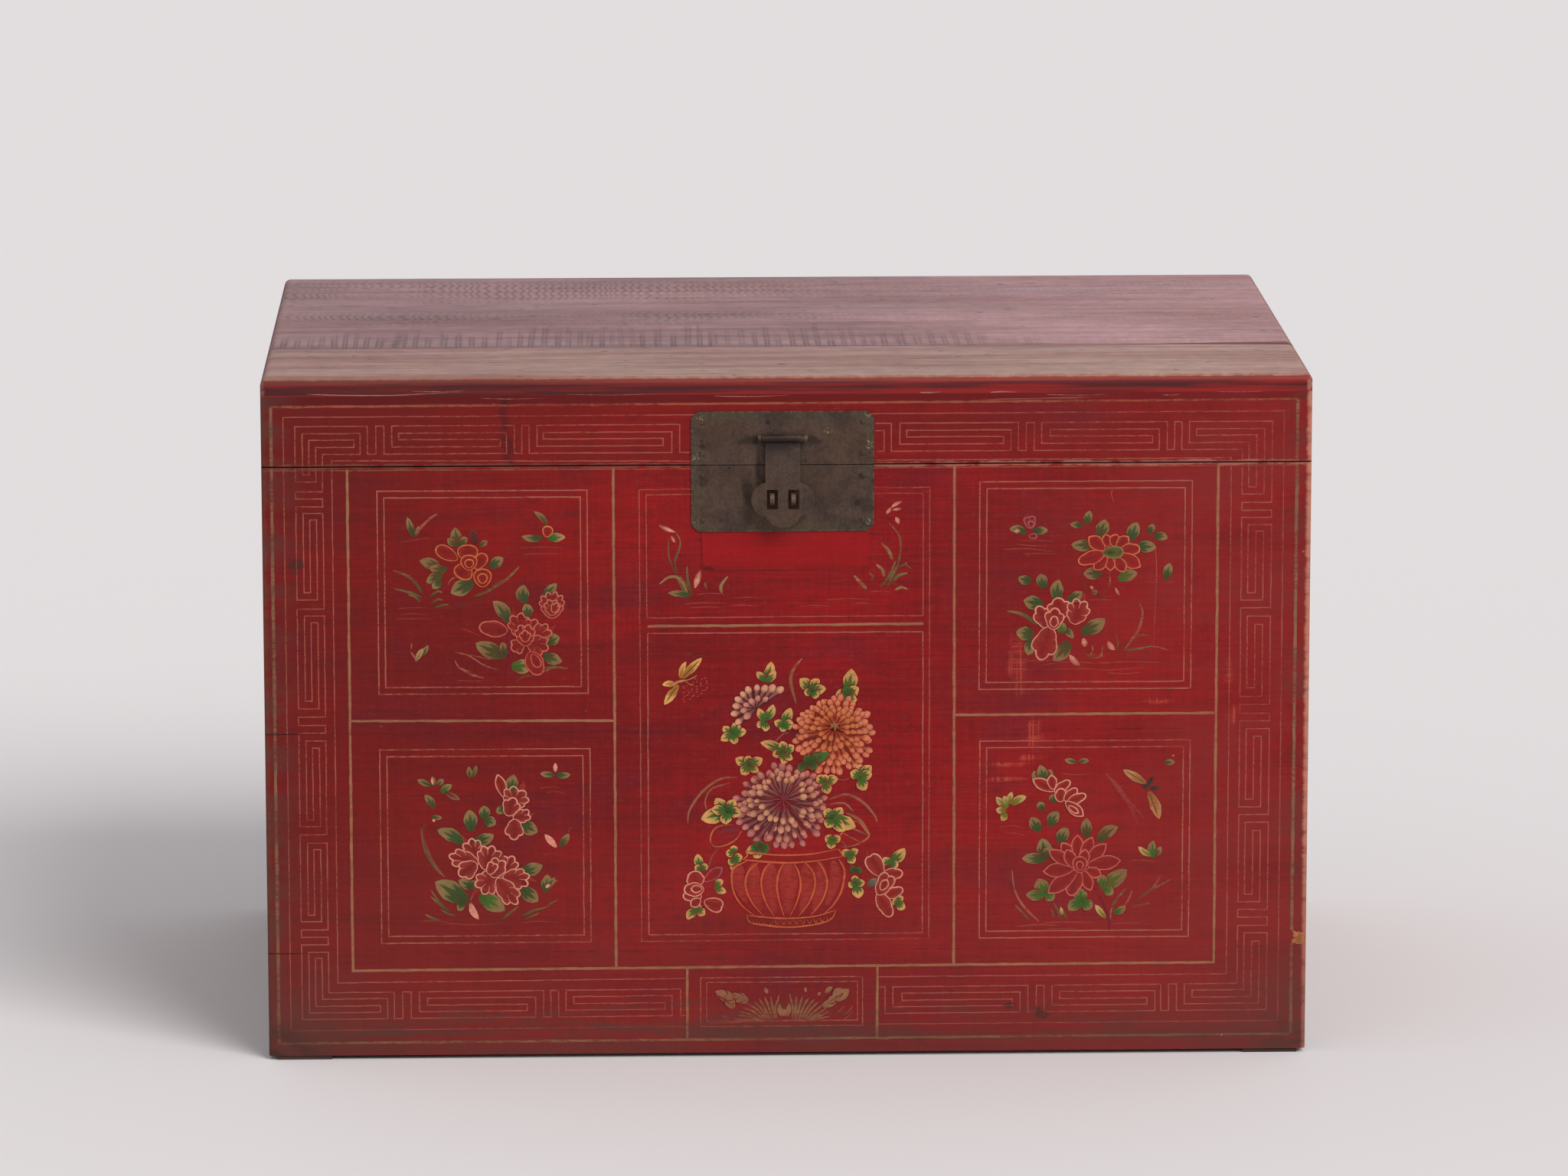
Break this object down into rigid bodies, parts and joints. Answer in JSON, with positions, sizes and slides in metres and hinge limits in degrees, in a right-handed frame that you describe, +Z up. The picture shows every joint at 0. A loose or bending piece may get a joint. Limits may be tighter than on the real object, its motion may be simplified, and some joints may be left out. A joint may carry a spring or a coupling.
{
  "type": "painted chest",
  "caption": "Lacquered board chest on low runners with a hinged lid, a split lock plate and a lobed hasp over two padlock staples, for storing clothes or bedding.",
  "frame": {"origin": "on the floor, under the middle of the overall outline, from the hanging hasp's tip to the back of the hinge knuckles", "axes": "+Z up, +X to the right as seen from the front, the painted front faces -Y"},
  "size_m": [0.86, 0.5838, 0.5716],
  "materials": {
    "red_lacquer": "worn satin red lacquer over softwood boards",
    "faded_top": "faded, rubbed mauve-brown paint over wood",
    "bare_wood": "bare planed softwood, darkened with age",
    "dark_brass": "dark brown patina with green edges",
    "black_iron": "dull hand-forged iron",
    "bamboo": "end grain of split bamboo, painted over"
  },
  "bodies": {
    "box": {"front_board_lower": "red_lacquer", "front_board_middle": "red_lacquer", "front_board_upper": "red_lacquer", "back_board_lower": "red_lacquer", "back_board_middle": "red_lacquer", "back_board_upper": "red_lacquer", "left_board_lower": "red_lacquer", "left_board_middle": "red_lacquer", "left_board_upper": "red_lacquer", "right_board_lower": "red_lacquer", "right_board_middle": "red_lacquer", "right_board_upper": "red_lacquer", "bottom_board_front": "bare_wood", "bottom_board_middle": "bare_wood", "bottom_board_rear": "bare_wood", "left_runner": "bare_wood", "right_runner": "bare_wood", "runner_nails": "black_iron", "lower_lock_plate": "dark_brass", "left_staple": "dark_brass", "right_staple": "dark_brass", "lower_plate_nails": "dark_brass", "left_hinge_lower_leaf": "dark_brass", "right_hinge_lower_leaf": "dark_brass", "left_hinge_pin": "black_iron", "right_hinge_pin": "black_iron", "hinge_lower_nails": "black_iron"},
    "lid": {"lid_front_rail": "red_lacquer", "lid_back_rail": "red_lacquer", "lid_left_rail": "red_lacquer", "lid_right_rail": "red_lacquer", "lid_front_board": "faded_top", "lid_rear_board": "faded_top", "lid_pegs": "bamboo", "upper_lock_plate": "dark_brass", "left_hasp_eye": "dark_brass", "right_hasp_eye": "dark_brass", "upper_plate_nails": "dark_brass", "left_hinge_upper_leaf": "dark_brass", "right_hinge_upper_leaf": "dark_brass", "hinge_upper_nails": "black_iron", "hasp_pin": "dark_brass"},
    "hasp": {"hasp": "dark_brass"}
  },
  "joints": [
    {"name": "lid_hinge", "type": "hinge", "parent": "box", "child": "lid", "pos_m": [0, 0.28871, 0.4983], "axis": [-1, 0, 0], "range_deg": [0, 105]},
    {"name": "hasp_swing", "type": "hinge", "parent": "lid", "child": "hasp", "pos_m": [-0.004, -0.27939, 0.5206], "axis": [-1, 0, 0], "range_deg": [-11, 155]}
  ]
}
